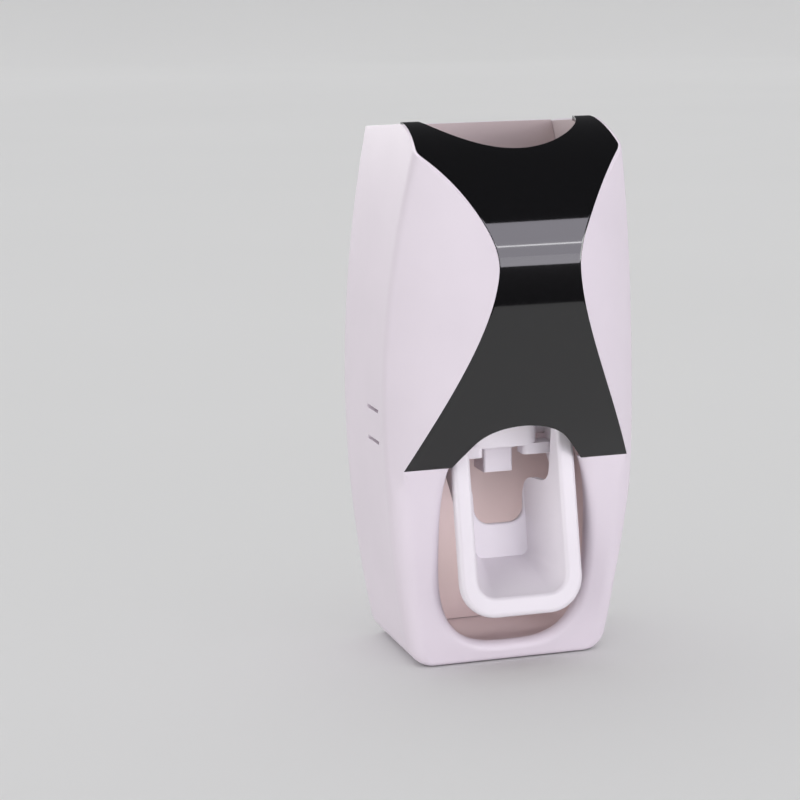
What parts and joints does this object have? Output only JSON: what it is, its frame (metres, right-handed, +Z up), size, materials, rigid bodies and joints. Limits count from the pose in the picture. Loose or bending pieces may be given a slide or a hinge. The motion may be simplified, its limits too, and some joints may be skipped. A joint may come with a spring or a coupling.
{
  "type": "toothpaste dispenser",
  "caption": "Wall-hung toothpaste dispenser: a bellied white case with a glossy waisted front panel, and a hinged brush scoop that works a small sprung pump.",
  "frame": {"origin": "middle of the adhesive pad's rear face, on the wall", "axes": "+X to the right as seen from the front, +Y into the wall, +Z up"},
  "size_m": [0.066, 0.0616, 0.137],
  "materials": {
    "case_white": "smooth satin white ABS with a faint warm lilac cast",
    "pusher_white": "smooth satin white, a little whiter than the case",
    "pump_white": "moulded white, satin",
    "panel_black": "polished piano black",
    "silicone": "milky soft silicone",
    "steel": "plain steel",
    "foam": "double-sided foam tape"
  },
  "bodies": {
    "case": {"housing_shell": "case_white", "front_panel": "panel_black", "rear_cover": "case_white", "cover_screws": "steel", "wall_plate": "case_white", "adhesive_pad": "foam", "pump_frame": "case_white", "hinge_pins": "steel", "pump_cylinder": "pump_white", "flange_screws": "steel", "tube_seal": "silicone", "seal_collar": "pump_white", "inlet_valve": "silicone"},
    "pusher": {"pusher_scoop": "pusher_white"},
    "plunger": {"plunger": "pump_white", "piston_seal": "silicone", "seal_retainer": "pump_white", "outlet_valve": "silicone", "nozzle_cap": "pump_white", "return_spring": "steel"}
  },
  "joints": [
    {"name": "pusher_swing", "type": "hinge", "parent": "case", "child": "pusher", "pos_m": [0, -0.0372, -0.024], "axis": [1, 0, 0], "range_deg": [0, 18], "stiffness_Nm_per_rad": 0.25, "springref_deg": -11.46},
    {"name": "plunger_slide", "type": "slide", "parent": "case", "child": "plunger", "axis": [0, 0, 1], "range_m": [0, 0.0038], "deforming": ["return_spring"]}
  ],
  "couplings": [
    {"joint": "pusher_swing", "follows": "plunger_slide", "rad_per_m": 82.642}
  ]
}
